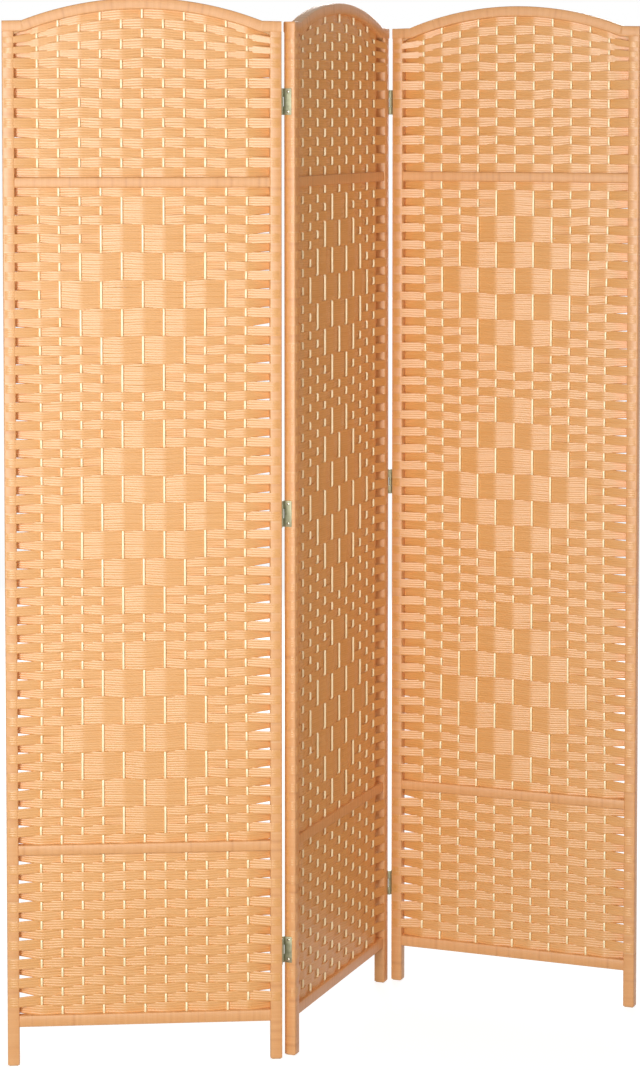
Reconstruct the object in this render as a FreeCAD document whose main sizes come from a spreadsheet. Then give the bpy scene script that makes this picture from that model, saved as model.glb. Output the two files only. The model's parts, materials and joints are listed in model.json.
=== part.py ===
"""Folding screen of three woven panels, modelled as a parametric document.

One panel is modelled once in its own frame: x runs along the panel from its left outer edge, y runs
through it from the middle plane to the back, z is up from the floor. Three panels are then placed in a
zigzag, joined by butt hinges, in the part's frame: the origin is on the floor, under the middle of the
standing screen, with +X to the right, +Y to the back and +Z up.
"""
import FreeCAD, Part
import math
import os

Vector = FreeCAD.Vector
Z_AXIS = Vector(0, 0, 1)

# Driving dimensions in millimetres, angles in degrees
SIZES = [
    ("shoulder_height", 1762.0, "floor to the flat top of a post"),
    ("arch_rise", 38.0, "top of the arch above the shoulders"),
    ("arch_shoulder", 31.0, "flat shoulder from a panel's outer edge to the arch"),
    ("panel_width", 465.0, "outer edge to outer edge of a panel"),
    ("post_core", 15.0, "side of a post's square wood"),
    ("post_binding", 2.5, "thickness of the cord round a post"),
    ("post_corner", 2.5, "bevel on the corners of a bound post"),
    ("bare_foot", 2.0, "wood that shows under a post's binding"),
    ("rail_depth", 12.0, "depth of the rails' wood, front to back"),
    ("rail_height", 12.0, "height of a cross rail's wood"),
    ("bottom_rail_height", 14.0, "height of the bottom rail's wood"),
    ("arch_height", 14.5, "height of the arch's wood, across its curve"),
    ("rail_binding", 2.0, "thickness of the cord round a rail"),
    ("upper_rail_drop", 268.6, "shoulder down to the upper rail's middle"),
    ("lower_rail_level", 368.2, "floor to the lower rail's middle"),
    ("bottom_rail_level", 75.6, "floor to the bottom rail's middle"),
    ("edge_space", 37.5, "bound post to the middle of the first stake"),
    ("stake_width", 4.5, "width of a stake"),
    ("weave_cord", 2.6, "thickness of a woven row"),
    ("weave_clearance", 0.2, "room between a woven row and the stakes that it passes"),
    ("arch_room", 0.6, "room between the weave and the arch above it"),
    ("hinge_gap", 4.4, "space between two posts, which the knuckle fills"),
    ("hinge_offset", 2.2, "hinge axis outside the panel's face"),
    ("hinge_height", 44.5, "length of a hinge along its pin"),
    ("leaf_reach", 16.2, "hinge axis to the far edge of a leaf"),
    ("leaf_thickness", 1.2, "thickness of a leaf"),
    ("pin_radius", 1.1, "radius of a hinge pin"),
    ("pin_fit", 0.06, "room round the pin in a knuckle"),
    ("knuckle_gap", 0.4, "room between a knuckle and the leaf beside it"),
    ("upper_hinge_drop", 134.0, "shoulder down to the upper hinge's middle"),
    ("middle_hinge_level", 932.0, "floor to the middle hinge's middle"),
    ("lower_hinge_level", 183.5, "floor to the lower hinge's middle"),
    ("screw_spacing", 33.5, "between the two screws of a leaf"),
    ("screw_reach", 10.0, "hinge axis to a screw's middle"),
    ("screw_head_radius", 2.4, "radius of a screw's head"),
    ("screw_head_height", 0.7, "height of a screw's head"),
    ("left_angle", 4.2, "left panel, turned from the X axis about Z"),
    ("middle_angle", 68.29, "middle panel, turned from the X axis about Z"),
    ("right_angle", -22.11, "right panel, turned from the X axis about Z"),
]

# Sides that the small round pieces are drawn with
STAKE_SIDES = 6
KNUCKLE_SIDES = 12
SCREW_SIDES = 8

# Counts that the weave is drawn with
STAKES = 11
CENTRE_ROWS = 71
TIER_ROWS = 3
DIAMOND_TIERS = (1, 2, 3, 4, 3, 2, 1)
DIAMONDS = 3

PANELS = ("left_panel", "middle_panel", "right_panel")
SIDES = {"front": -1, "back": 1}

doc = FreeCAD.newDocument("folding_screen")
sheet = doc.addObject("Spreadsheet::Sheet", "sizes")
for row, (alias, value, meaning) in enumerate(SIZES, start=1):
    sheet.set(f"A{row}", meaning)
    sheet.set(f"B{row}", str(value))
    sheet.setAlias(f"B{row}", alias)
doc.recompute()
S = {alias: float(sheet.get(alias)) for alias, value, meaning in SIZES}

# Sizes and levels worked out from the driving dimensions
POST = S["post_core"] + 2 * S["post_binding"]
WIDTH = S["panel_width"]
POST_TOP = S["shoulder_height"] - S["post_binding"]
CORE_INSIDE = S["post_binding"] + S["post_core"]
UPPER_RAIL = S["shoulder_height"] - S["upper_rail_drop"]
LOWER_RAIL = S["lower_rail_level"]
BOTTOM_RAIL = S["bottom_rail_level"]
RAIL_HALF = S["rail_height"] / 2 + S["rail_binding"]
BOTTOM_RAIL_HALF = S["bottom_rail_height"] / 2 + S["rail_binding"]
UPPER_HINGE = S["shoulder_height"] - S["upper_hinge_drop"]
HINGES = {"upper": UPPER_HINGE, "middle": S["middle_hinge_level"], "lower": S["lower_hinge_level"]}
KNUCKLE = S["hinge_gap"] / 2
STAKE_PITCH = (WIDTH - 2 * (POST + S["edge_space"])) / (STAKES - 1)
MIDDLE_STAKE = (STAKES + 1) // 2

# The arch's outer face is one arc from shoulder to shoulder
ARCH_CELLS = "( ( panel_width / 2 - arch_shoulder ) ^ 2 + arch_rise ^ 2 ) / ( 2 * arch_rise )"
ARCH_HALF_CHORD = WIDTH / 2 - S["arch_shoulder"]
ARCH_RADIUS = (ARCH_HALF_CHORD**2 + S["arch_rise"] ** 2) / (2 * S["arch_rise"])
ARCH_CENTRE = S["shoulder_height"] + S["arch_rise"] - ARCH_RADIUS
ARCH_UNDERSIDE = ARCH_RADIUS - S["arch_height"] - 2 * S["rail_binding"]


def bind(item, **expressions):
    """Bind properties of a document object to cells of the sheet."""
    for prop, expression in expressions.items():
        item.setExpression(prop, expression)
    return item


def sized(cells):
    """A sum of cells as an expression: names become cells of the sheet, numbers stay."""
    words = cells.replace("(", "( ").replace(")", " )").split()
    return " ".join("sizes." + word if word in S else word for word in words)


def box(name, length, width, height, corner):
    """A box with its three sizes bound to the sheet and its low corner at a place."""
    item = doc.addObject("Part::Box", name)
    bind(item, Length=sized(length), Width=sized(width), Height=sized(height))
    item.Placement.Base = Vector(*corner)
    return item


def prism(name, sides, radius, height, base, direction=Z_AXIS):
    """A round rod drawn with a few sides, its corners on the radius."""
    item = doc.addObject("Part::Prism", name)
    item.Polygon = sides
    bind(item, Circumradius=sized(radius), Height=sized(height))
    item.Placement = FreeCAD.Placement(Vector(*base), FreeCAD.Rotation(Z_AXIS, direction))
    return item


def cut(name, base, tool):
    item = doc.addObject("Part::Cut", name)
    item.Base = base
    item.Tool = tool
    return item


def common(name, base, tool):
    item = doc.addObject("Part::Common", name)
    item.Base = base
    item.Tool = tool
    return item


def fuse(name, items):
    item = doc.addObject("Part::MultiFuse", name)
    item.Shapes = items
    item.Refine = True
    return item


def compound(name, items):
    item = doc.addObject("Part::Compound", name)
    item.Links = items
    return item


# Wood of the frame


def post_core(side):
    """A square post, from the floor to just under its bound top."""
    left = S["post_binding"] if side == "left" else WIDTH - CORE_INSIDE
    corner = (left, -S["post_core"] / 2, 0)
    return box(f"{side}_post_core", "post_core", "post_core", "shoulder_height - post_binding", corner)


def rail_core(name, level, height):
    """A straight rail that butts against the wood of both posts."""
    corner = (CORE_INSIDE, -S["rail_depth"] / 2, level - S[height] / 2)
    length = "panel_width - 2 * ( post_binding + post_core )"
    return box(f"{name}_core", length, "rail_depth", height, corner)


def arch_body(name, inset, start, start_cells, depth, depth_cells):
    """The arched rail: flat shoulders, one arc above and a concentric arc below.

    inset is the cell that holds how far the faces lie inside the bound rail, start is how far the ends
    stand from the panel's outer edges, and depth is the rail's size front to back.
    """
    inside = S.get(inset, 0.0)
    under = ARCH_UNDERSIDE + inside
    top = S["shoulder_height"] - inside
    low = ARCH_CENTRE + math.sqrt(under**2 - (WIDTH / 2 - start) ** 2)
    to_back = FreeCAD.Rotation(Z_AXIS, Vector(0, 1, 0))

    shoulder = doc.addObject("Part::Box", f"{name}_shoulder")
    bind(shoulder, Length=sized(f"panel_width - 2 * ( {start_cells} )"), Width=sized(depth_cells))
    shoulder.Height = top - low
    shoulder.Placement.Base = Vector(start, -depth / 2, low)

    round_top = doc.addObject("Part::Cylinder", f"{name}_round_top")
    bind(round_top, Radius=sized(f"{ARCH_CELLS} - {inset}"), Height=sized(depth_cells))
    round_top.Placement = FreeCAD.Placement(Vector(WIDTH / 2, -depth / 2, ARCH_CENTRE), to_back)
    above_corner = (0, -S["rail_depth"], top)
    above = box(f"{name}_above", "panel_width", "2 * rail_depth", f"arch_rise + {inset}", above_corner)
    cap = common(f"{name}_cap", round_top, above)

    underside = doc.addObject("Part::Cylinder", f"{name}_underside")
    radius_cells = f"{ARCH_CELLS} - arch_height - 2 * rail_binding + {inset}"
    bind(underside, Radius=sized(radius_cells), Height=sized(f"2 * ( {depth_cells} )"))
    underside.Placement = FreeCAD.Placement(Vector(WIDTH / 2, -depth, ARCH_CENTRE), to_back)
    return cut(name, fuse(f"{name}_block", [shoulder, cap]), underside)


# Cord bindings of the frame


def post_binding(side, wood):
    """The cord round a post: a bevelled sleeve, closed on top, open where the rails enter."""
    left = 0 if side == "left" else WIDTH - POST
    side_length = "post_core + 2 * post_binding"
    corner = (left, -POST / 2, S["bare_foot"])
    block = box(f"{side}_binding_block", side_length, side_length, "shoulder_height - bare_foot", corner)
    bevelled = doc.addObject("Part::Chamfer", f"{side}_binding_bevelled")
    bevelled.Base = block
    upright = [
        index
        for index, edge in enumerate(Part.makeBox(1, 1, 2).Edges, start=1)
        if abs(edge.tangentAt(edge.FirstParameter).z) > 0.5
    ]
    bevelled.Edges = [(index, S["post_corner"], S["post_corner"]) for index in upright]
    return cut(f"{side}_post_binding", bevelled, wood)


def rail_binding(name, level, height, core):
    """The cord round a straight rail: a sleeve between the bound posts."""
    half = S[height] / 2 + S["rail_binding"]
    corner = (POST, -S["rail_depth"] / 2 - S["rail_binding"], level - half)
    block = box(
        f"{name}_binding_block",
        "panel_width - 2 * ( post_core + 2 * post_binding )",
        "rail_depth + 2 * rail_binding",
        f"{height} + 2 * rail_binding",
        corner,
    )
    return cut(f"{name}_binding", block, core)


# Stakes and weave


def stake_place(number):
    """x of a stake, numbered from 1 at the left."""
    return POST + S["edge_space"] + (number - 1) * STAKE_PITCH


def arch_underside_level(x, radius):
    return ARCH_CENTRE + math.sqrt(radius**2 - (x - WIDTH / 2) ** 2)


def stakes(section, low, high):
    """The upright stakes of one section, from rail to rail. high gives the top over a stake's edge."""
    items = []
    for number in range(1, STAKES + 1):
        x = stake_place(number)
        stake = doc.addObject("Part::Prism", f"{section}_stake_{number}")
        stake.Polygon = STAKE_SIDES
        bind(stake, Circumradius=sized("stake_width / 2"))
        outer_edge = abs(x - WIDTH / 2) + S["stake_width"] / 2
        stake.Height = high(WIDTH / 2 + outer_edge) - low
        stake.Placement.Base = Vector(x, 0, low)
        items.append(stake)
    return compound(f"{section}_stakes", items)


def wave_height():
    """Half the swing of a row's middle line, so that a row clears the stakes that it passes."""
    clear = S["stake_width"] / 2 + S["weave_clearance"] + S["weave_cord"] / 2
    swing = clear
    for repeat in range(20):
        slope = math.atan(2 * swing / STAKE_PITCH)
        swing = clear / math.cos(slope)
    return swing


SWING = wave_height()


def middle_between(number):
    """x half-way between a stake and the next one to its right."""
    return stake_place(number) + STAKE_PITCH / 2


def flat_face(points):
    """A flat face from the corners of its outline."""
    return Part.Face(Part.makePolygon(points + points[:1]))


def plain_profile(facing):
    """Plain weave seen from above, the rows' passes on one side of the stakes: -1 in front, 1 behind.

    The rows pass in front of the stakes and behind them by turns, and so does the row at a post: the passes
    on each side close up to a sheet that ends on the bevel of both posts.
    """
    half = SWING + S["weave_cord"] / 2
    inner = half - S["weave_cord"]
    bevel = S["post_corner"]
    first, last = stake_place(1), stake_place(STAKES)
    outline = [
        (POST - bevel, POST / 2),
        (first, half),
        (last, half),
        (WIDTH - POST + bevel, POST / 2),
        (WIDTH - POST, POST / 2 - bevel),
        (last, inner),
        (first, inner),
        (POST, POST / 2 - bevel),
    ]
    return flat_face([Vector(x, facing * y, 0) for x, y in outline])


def tier_profile(half_width):
    """The three rows of a diamond's tier seen from above, over and under the stakes in turn."""
    first = MIDDLE_STAKE - half_width
    last = MIDDLE_STAKE + half_width
    line = [Vector(middle_between(first - 1), 0, 0)]
    for number in range(first, last + 1):
        behind = (number - first) % 2 == 0
        line.append(Vector(stake_place(number), SWING if behind else -SWING, 0))
    line.append(Vector(middle_between(last), 0, 0))
    clear = S["weave_clearance"]
    length = line[-1].x - line[0].x - 2 * clear
    window = Part.makePlane(length, 2 * POST, Vector(line[0].x + clear, -POST, 0))
    return strip_face(line).common(window)


def strip_face(points):
    """The flat outline of a row: its middle line with half a cord's thickness on both sides."""
    half = S["weave_cord"] / 2
    near = []
    far = []
    for index, point in enumerate(points):
        into = point - points[index - 1] if index else points[1] - point
        out = points[index + 1] - point if index < len(points) - 1 else into
        into = Vector(into).normalize()
        out = Vector(out).normalize()
        normal = Vector(-(into.y + out.y), into.x + out.x, 0).normalize()
        reach = half / (normal.y * into.x - normal.x * into.y)
        near.append(point - normal * reach)
        far.append(point + normal * reach)
    return flat_face(near + far[::-1])


def raised(face, low, high):
    """A face lifted to one level and extruded up to another."""
    lifted = face.copy()
    lifted.translate(Vector(0, 0, low))
    solid = lifted.extrude(Vector(0, 0, high - low))
    return solid if solid.ShapeType == "Solid" else solid.Solids[0]


def weave(name, shape):
    item = doc.addObject("Part::Feature", name)
    item.Shape = shape
    return item


def diamond_weave(low, high):
    """The middle section: plain weave with stacked diamonds, each of seven tiers of three rows."""
    pitch = (high - low) / CENTRE_ROWS
    diamond_rows = TIER_ROWS * len(DIAMOND_TIERS)
    pattern_rows = DIAMONDS * diamond_rows + (DIAMONDS - 1) * TIER_ROWS
    level = low + pitch * (CENTRE_ROWS - pattern_rows) / 2
    profiles = {half_width: tier_profile(half_width) for half_width in set(DIAMOND_TIERS)}
    rooms = []
    tiers = []
    for diamond in range(DIAMONDS):
        for half_width in DIAMOND_TIERS:
            top = level + TIER_ROWS * pitch
            left = middle_between(MIDDLE_STAKE - half_width - 1)
            right = middle_between(MIDDLE_STAKE + half_width)
            rooms.append(Part.makeBox(right - left, 2 * POST, top - level, Vector(left, -POST, level)))
            tiers.append(raised(profiles[half_width], level, top))
            level = top
        level += TIER_ROWS * pitch
    items = []
    for side, facing in SIDES.items():
        plain = raised(plain_profile(facing), low, high).cut(rooms).removeSplitter()
        items.append(weave(f"{side}_plain_rows", plain.Solids[0]))
    return items + [weave(f"tier_{index}", tier) for index, tier in enumerate(tiers, start=1)]


def top_weave(low, radius):
    """The top section: plain weave, cut off under the arch by a plane over every two stakes."""
    edges = [0, POST, *[stake_place(number) for number in range(2, STAKES, 2)], WIDTH - POST, WIDTH]
    corners = [Vector(x, -POST, arch_underside_level(x, radius)) for x in edges]
    outline = [Vector(edges[0], -POST, low), *corners, Vector(edges[-1], -POST, low)]
    under = flat_face(outline).extrude(Vector(0, 2 * POST, 0))
    items = []
    for side, facing in SIDES.items():
        solid = raised(plain_profile(facing), low, ARCH_CENTRE + radius).common(under)
        items.append(weave(f"{side}_top_rows", solid.Solids[0]))
    return items


def base_weave(low, high):
    """The base section: plain weave from rail to rail."""
    return [weave(f"{side}_base_rows", raised(plain_profile(facing), low, high)) for side, facing in SIDES.items()]


# Hinges


def hinge_corner(edge, face):
    """Where a hinge's axis stands in a panel's frame, and the ways in to the panel from it."""
    outward = 1 if edge == "right" else -1
    facing = 1 if face == "back" else -1
    edge_plane = WIDTH if edge == "right" else 0.0
    axis = (edge_plane + outward * KNUCKLE, facing * (POST / 2 + S["hinge_offset"]))
    return edge_plane, outward, facing, axis


def leaf(name, edge, face, level, knuckles):
    """One leaf of a butt hinge: a plate on the post's edge that rolls into its knuckles.

    knuckles lists which of the three thirds of the hinge's height the leaf's own knuckles take.
    """
    edge_plane, outward, facing, (axis_x, axis_y) = hinge_corner(edge, face)
    bottom = level - S["hinge_height"] / 2
    plate_x = edge_plane if outward > 0 else edge_plane - S["leaf_thickness"]
    near = KNUCKLE + S["knuckle_gap"]

    def plate(label, start, stop, width, height, z):
        low_y = min(axis_y - facing * start, axis_y - facing * stop)
        return box(label, "leaf_thickness", width, height, (plate_x, low_y, z))

    width = "leaf_reach - hinge_gap / 2 - knuckle_gap"
    pieces = [plate(f"{name}_plate", near, S["leaf_reach"], width, "hinge_height", bottom)]
    for index in knuckles:
        low = bottom + index * S["hinge_height"] / 3 + (S["knuckle_gap"] / 2 if index else 0)
        height = "hinge_height / 3 - knuckle_gap" if index == 1 else "hinge_height / 3 - knuckle_gap / 2"
        pieces.append(plate(f"{name}_tab_{index}", 0, near, "hinge_gap / 2 + knuckle_gap", height, low))
        barrel_name = f"{name}_barrel_{index}"
        pieces.append(prism(barrel_name, KNUCKLE_SIDES, "hinge_gap / 2", height, (axis_x, axis_y, low)))
    flats = f"( pin_radius + pin_fit ) / cos( 180 deg / {KNUCKLE_SIDES} )"
    bore = prism(f"{name}_bore", KNUCKLE_SIDES, flats, "hinge_height", (axis_x, axis_y, bottom))
    return cut(name, fuse(f"{name}_body", pieces), bore)


def pin(name, edge, face, level):
    """A hinge pin, flush with the ends of its knuckles."""
    axis = hinge_corner(edge, face)[3]
    bottom = (*axis, level - S["hinge_height"] / 2)
    return prism(name, KNUCKLE_SIDES, "pin_radius", "hinge_height", bottom)


def screw_places(level):
    return (level - S["screw_spacing"] / 2, level + S["screw_spacing"] / 2)


def screws(name, edge, face):
    """The heads of the wood screws of three leaves."""
    edge_plane, outward, facing, (axis_x, axis_y) = hinge_corner(edge, face)
    y = axis_y - facing * S["screw_reach"]
    seat = edge_plane + outward * S["leaf_thickness"]
    items = []
    for hinge, level in HINGES.items():
        for index, z in enumerate(screw_places(level)):
            head = f"{name}_{hinge}_{index}"
            way = Vector(outward, 0, 0)
            items.append(prism(head, SCREW_SIDES, "screw_head_radius", "screw_head_height", (seat, y, z), way))
    return items


# One panel, in its own frame


def build_panel():
    """The solids of one panel, by the name of the piece."""
    posts = {side: post_core(side) for side in ("left", "right")}
    rails = {
        "upper_rail": rail_core("upper_rail", UPPER_RAIL, "rail_height"),
        "lower_rail": rail_core("lower_rail", LOWER_RAIL, "rail_height"),
        "bottom_rail": rail_core("bottom_rail", BOTTOM_RAIL, "bottom_rail_height"),
    }
    arch = arch_body(
        "arch_core", "rail_binding", CORE_INSIDE, "post_core + post_binding", S["rail_depth"], "rail_depth"
    )
    bound_depth = S["rail_depth"] + 2 * S["rail_binding"]
    bound_arch = arch_body(
        "bound_arch", "0", POST, "post_core + 2 * post_binding", bound_depth, "rail_depth + 2 * rail_binding"
    )
    wood = compound("frame_wood", [*posts.values(), *rails.values(), arch])
    bindings = [
        cut("arch_binding", bound_arch, arch),
        rail_binding("upper_rail", UPPER_RAIL, "rail_height", rails["upper_rail"]),
        rail_binding("lower_rail", LOWER_RAIL, "rail_height", rails["lower_rail"]),
        rail_binding("bottom_rail", BOTTOM_RAIL, "bottom_rail_height", rails["bottom_rail"]),
    ]
    base_low = BOTTOM_RAIL + BOTTOM_RAIL_HALF
    base_high = LOWER_RAIL - RAIL_HALF
    centre_low = LOWER_RAIL + RAIL_HALF
    centre_high = UPPER_RAIL - RAIL_HALF
    top_low = UPPER_RAIL + RAIL_HALF
    return {
        "left_post": [posts["left"]],
        "right_post": [posts["right"]],
        "arch_rail": [arch],
        **{name: [core] for name, core in rails.items()},
        **{f"{side}_post_binding": [post_binding(side, wood)] for side in posts},
        "rail_bindings": bindings,
        "top_stakes": [stakes("top", top_low, lambda x: arch_underside_level(x, ARCH_UNDERSIDE))],
        "diamond_stakes": [stakes("diamond", centre_low, lambda x: centre_high)],
        "base_stakes": [stakes("base", base_low, lambda x: base_high)],
        "top_weave": top_weave(top_low, ARCH_UNDERSIDE - S["arch_room"]),
        "diamond_weave": diamond_weave(centre_low, centre_high),
        "base_weave": base_weave(base_low, base_high),
    }


# Where the panels stand


def along(angle):
    """Unit vector along a panel that is turned by an angle about Z."""
    return Vector(math.cos(math.radians(angle)), math.sin(math.radians(angle)), 0)


def through(angle):
    """Unit vector through a panel, from its front to its back."""
    return Vector(-math.sin(math.radians(angle)), math.cos(math.radians(angle)), 0)


def panel_places():
    """Placement of each panel and the two hinge axes, chained from the left panel over the hinges."""
    angles = {"left_panel": S["left_angle"], "middle_panel": S["middle_angle"], "right_panel": S["right_angle"]}
    span = WIDTH + KNUCKLE
    reach = POST / 2 + S["hinge_offset"]

    def from_panel(start, angle, x, y):
        return start + along(angle) * x + through(angle) * y

    corners = {"left_panel": Vector(0, 0, 0)}
    left_axis = from_panel(corners["left_panel"], angles["left_panel"], span, reach)
    corners["middle_panel"] = from_panel(left_axis, angles["middle_panel"], KNUCKLE, -reach)
    right_axis = from_panel(corners["middle_panel"], angles["middle_panel"], span, -reach)
    corners["right_panel"] = from_panel(right_axis, angles["right_panel"], KNUCKLE, reach)

    # The screen's reach is that of the bevelled corners of its bound posts
    bevel = S["post_corner"]
    edges = [
        from_panel(corners[panel], angles[panel], abs(x), y)
        for panel in PANELS
        for x_bevel, y_bevel in ((0, bevel), (bevel, 0))
        for x in (x_bevel, x_bevel - WIDTH)
        for y in (y_bevel - POST / 2, POST / 2 - y_bevel)
    ]
    middle = Vector(
        (min(point.x for point in edges) + max(point.x for point in edges)) / 2,
        (min(point.y for point in edges) + max(point.y for point in edges)) / 2,
        0,
    )
    places = {
        panel: FreeCAD.Placement(corners[panel] - middle, FreeCAD.Rotation(Z_AXIS, angles[panel]))
        for panel in PANELS
    }
    return places, left_axis - middle, right_axis - middle


# The nodes: each is a group of one or more solids, placed with its panel


def node(label, solids, placement):
    item = doc.addObject("Part::Compound", label)
    item.Label = label
    item.Links = solids
    item.Placement = placement
    return item


def build_nodes():
    places, left_axis, right_axis = panel_places()
    nodes = []
    for piece, solids in build_panel().items():
        nodes += [node(f"{panel}_{piece}", solids, places[panel]) for panel in PANELS]

    # The end knuckles and the pins go with the middle panel, the single knuckles with the outer ones
    sides = [
        ("left_joint_single", "left_panel", "right", "back", (1,)),
        ("left_joint_double", "middle_panel", "left", "back", (0, 2)),
        ("right_joint_double", "middle_panel", "right", "front", (0, 2)),
        ("right_joint_single", "right_panel", "left", "front", (1,)),
    ]
    for name, panel, edge, face, knuckles in sides:
        leaves = [leaf(f"{name}_{hinge}_leaf", edge, face, level, knuckles) for hinge, level in HINGES.items()]
        nodes.append(node(f"{name}_leaves", leaves, places[panel]))
        nodes.append(node(f"{name}_screws", screws(f"{name}_screw", edge, face), places[panel]))
    for joint, edge, face in (("left_joint", "left", "back"), ("right_joint", "right", "front")):
        for hinge, level in HINGES.items():
            body = pin(f"{joint}_{hinge}_pin_body", edge, face, level)
            nodes.append(node(f"{joint}_{hinge}_pin", [body], places["middle_panel"]))
    print("left hinge axis", [round(value, 4) for value in left_axis])
    print("right hinge axis", [round(value, 4) for value in right_axis])
    for panel in PANELS:
        print(panel, [round(value, 4) for value in places[panel].Base])
    return nodes


def check(nodes):
    """Stop before anything is written if an object failed or a shape is not sound."""
    for item in doc.Objects:
        if "Invalid" in item.State or "Error" in item.State:
            raise RuntimeError(f"{item.Label} failed: {item.State}")
    for item in nodes:
        if item.Shape.isNull() or not item.Shape.isValid() or not item.Shape.Solids:
            raise RuntimeError(f"{item.Label} has no sound shape")


nodes = build_nodes()
doc.recompute()
check(nodes)
os.makedirs("parts", exist_ok=True)
for item in nodes:
    item.Shape.exportStep(os.path.join("parts", item.Label + ".step"))
print(len(nodes), "nodes")
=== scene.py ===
"""Folding screen of woven paper cord: the looks of its pieces, in metres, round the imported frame.

Each panel is drawn in its own frame (x along the panel from its left outer edge, y through it to the back,
z up from the floor) and then placed where the frame has it.
"""
import json
import math
import random
import bmesh
import bpy
from mathutils import Matrix, Vector


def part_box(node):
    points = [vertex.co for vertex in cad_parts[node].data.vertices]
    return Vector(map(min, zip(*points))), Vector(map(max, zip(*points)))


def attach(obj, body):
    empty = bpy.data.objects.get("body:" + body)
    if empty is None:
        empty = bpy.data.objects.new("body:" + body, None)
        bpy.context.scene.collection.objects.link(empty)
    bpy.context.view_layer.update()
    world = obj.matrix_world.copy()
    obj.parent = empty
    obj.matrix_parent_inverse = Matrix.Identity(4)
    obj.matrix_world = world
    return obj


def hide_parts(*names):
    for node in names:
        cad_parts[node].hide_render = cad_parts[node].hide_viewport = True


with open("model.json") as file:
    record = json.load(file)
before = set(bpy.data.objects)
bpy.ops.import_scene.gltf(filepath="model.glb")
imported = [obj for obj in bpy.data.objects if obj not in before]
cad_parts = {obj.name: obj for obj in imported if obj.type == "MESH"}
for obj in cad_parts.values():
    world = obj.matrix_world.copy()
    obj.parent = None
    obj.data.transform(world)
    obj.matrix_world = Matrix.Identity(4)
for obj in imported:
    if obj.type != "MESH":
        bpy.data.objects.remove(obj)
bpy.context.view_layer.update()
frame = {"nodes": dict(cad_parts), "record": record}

MM = 0.001
PANELS = ("left_panel", "middle_panel", "right_panel")

# The frame of a panel
PANEL_WIDTH = 465 * MM
POST = 20 * MM
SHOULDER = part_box("left_panel_left_post_binding")[1].z
FOOT_GIRTH = 0.93
FOOT_LEVEL = 2 * MM
RAIL_BINDING = 2 * MM
RAIL_DEPTH = 16 * MM
RAIL_FULLNESS = 1.09
RAIL_OVERLAP = 2 * MM
ARCH_DEPTH = POST + 1 * MM
ARCH_HEIGHT = 18.5 * MM
ARCH_RISE = 38 * MM
ARCH_SHOULDER = 31 * MM
ARCH_STEPS = 48

# The rounded end of an arch: how far in from the outer edge, and the share of its section there
ARCH_END = ((0.2 * MM, 0.72), (1.2 * MM, 0.9), (3.6 * MM, 1.0))

# The cord wound round the frame: its turns, and the grooves between turns and between bands of turns
TURN = 3.9 * MM
TURN_STEPS = 4
CORD_CORNER = 2 * MM
POST_GROOVE = 0.06
RAIL_GROOVE = 0.12
ARCH_GROOVE = 0.1
POST_BAND = 4
BAR_BAND = 3
TURN_SHARPNESS = 3
BAND_SHARPNESS = 5
SHALLOWEST_BAND = 0.1
DEEP_BAND_RARITY = 4
POST_TOP_GAP = 3 * MM

# What turns, bands and loose cord add to a groove's depth, and to the shade painted into it
GROOVE_DEPTH = {"turn": 0.5, "band": 0.7, "loose": 0.3}
PAINTED_GROOVE_SHADE = {"turn": 0.4, "band": 2.4}

# The paper's twist and its streaks, in lines a metre along the cord and round it
TWIST_ALONG = 150
TWIST_AROUND = 160
STREAKS_ALONG = 40
STREAKS_AROUND = 600

# How far the streaks of one cord can be from those of another
STREAKS_APART = 50

# The pale strands that show between a post's turns, but not by the top rows of a section
ROWS_WITHOUT_STRAND = 3
STRAND_CHANCE = 0.6
STRAND_REACH = 1.1 * MM
STRAND_PALENESS = (0.05, 0.4)
STRAND_PLACE = {"left": -0.42, "right": 0.38}

# The weave
STAKES = 11
MIDDLE_STAKE = 6
STAKE_WIDTH = 4 * MM
STAKE_DEPTH = 4 * MM
STAKE_FULLNESS = 0.8
EDGE_SPACE = 37.5 * MM
STAKE_PITCH = (PANEL_WIDTH - 2 * (POST + EDGE_SPACE)) / (STAKES - 1)
STAKE_BOW = {"left_panel": 4.5 * MM, "middle_panel": 0, "right_panel": 6 * MM}
STAKE_END = 3 * MM
STAKE_SWING = 1.4 * MM
STAKE_BEND_SHARE = 0.3
ROWS = {"base": 17, "middle": 71, "top": 17}
TOP_ROW_SHARE = 1.059
CORDS_IN_ROW = 4
CORD_THICKNESS = 2.5 * MM
CORD_FULLNESS = 0.38
CORD_OVERLAP = 1.22
DIAMOND_TIERS = (1, 2, 3, 4, 3, 2, 1)
TIER_ROWS = 3
FIRST_DIAMOND_ROW = 2
DIAMOND_ROWS = 24
ROW_SWING = 2.8 * MM
ROW_BEND = 5 * MM
ROW_STRAY = 0.15 * MM
CORD_STRAY = 0.16 * MM

# How far below the shoulder the arch starts to press the rows down
ARCH_PRESS = 62 * MM

# A row's way over a post's face
WRAP_BEDDING = 0.15 * MM
WRAP_START = 2 * MM
WRAP_CORNER = 2.5 * MM
WRAP_END = 3 * MM

# The rows' gentle waves, which fade towards the posts and rails
WAVE = 1.3 * MM
WAVE_FADE = 45 * MM
WAVE_PHASE = 2.1

# Each wave's share, its radians a metre along and up, and its part of the phase from panel to panel
WAVES = ((0.6, 43, 13, 1), (0.4, 81, -29, -3))

# How much of its height a row keeps: before a post, before a stake and behind a stake
POST_SPREAD = 0.98
FRONT_SPREAD = 1.05
BACK_SPREAD = 1.07

# The same behind the left and the right post of a panel, where it varies by chance
SQUEEZE = {
    "left_panel": {"base": (0.74, 1.1), "middle": (0.93, 0.81), "top": (0.96, 1.02)},
    "middle_panel": {"base": (1.0, 0.9), "middle": (1.0, 0.85), "top": (1.0, 0.9)},
    "right_panel": {"base": (0.95, 1.1), "middle": (1.22, 0.87), "top": (1.15, 0.93)},
}
SQUEEZE_CHANCE = 0.08
WIDEST_SPREAD = 1.06

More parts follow.
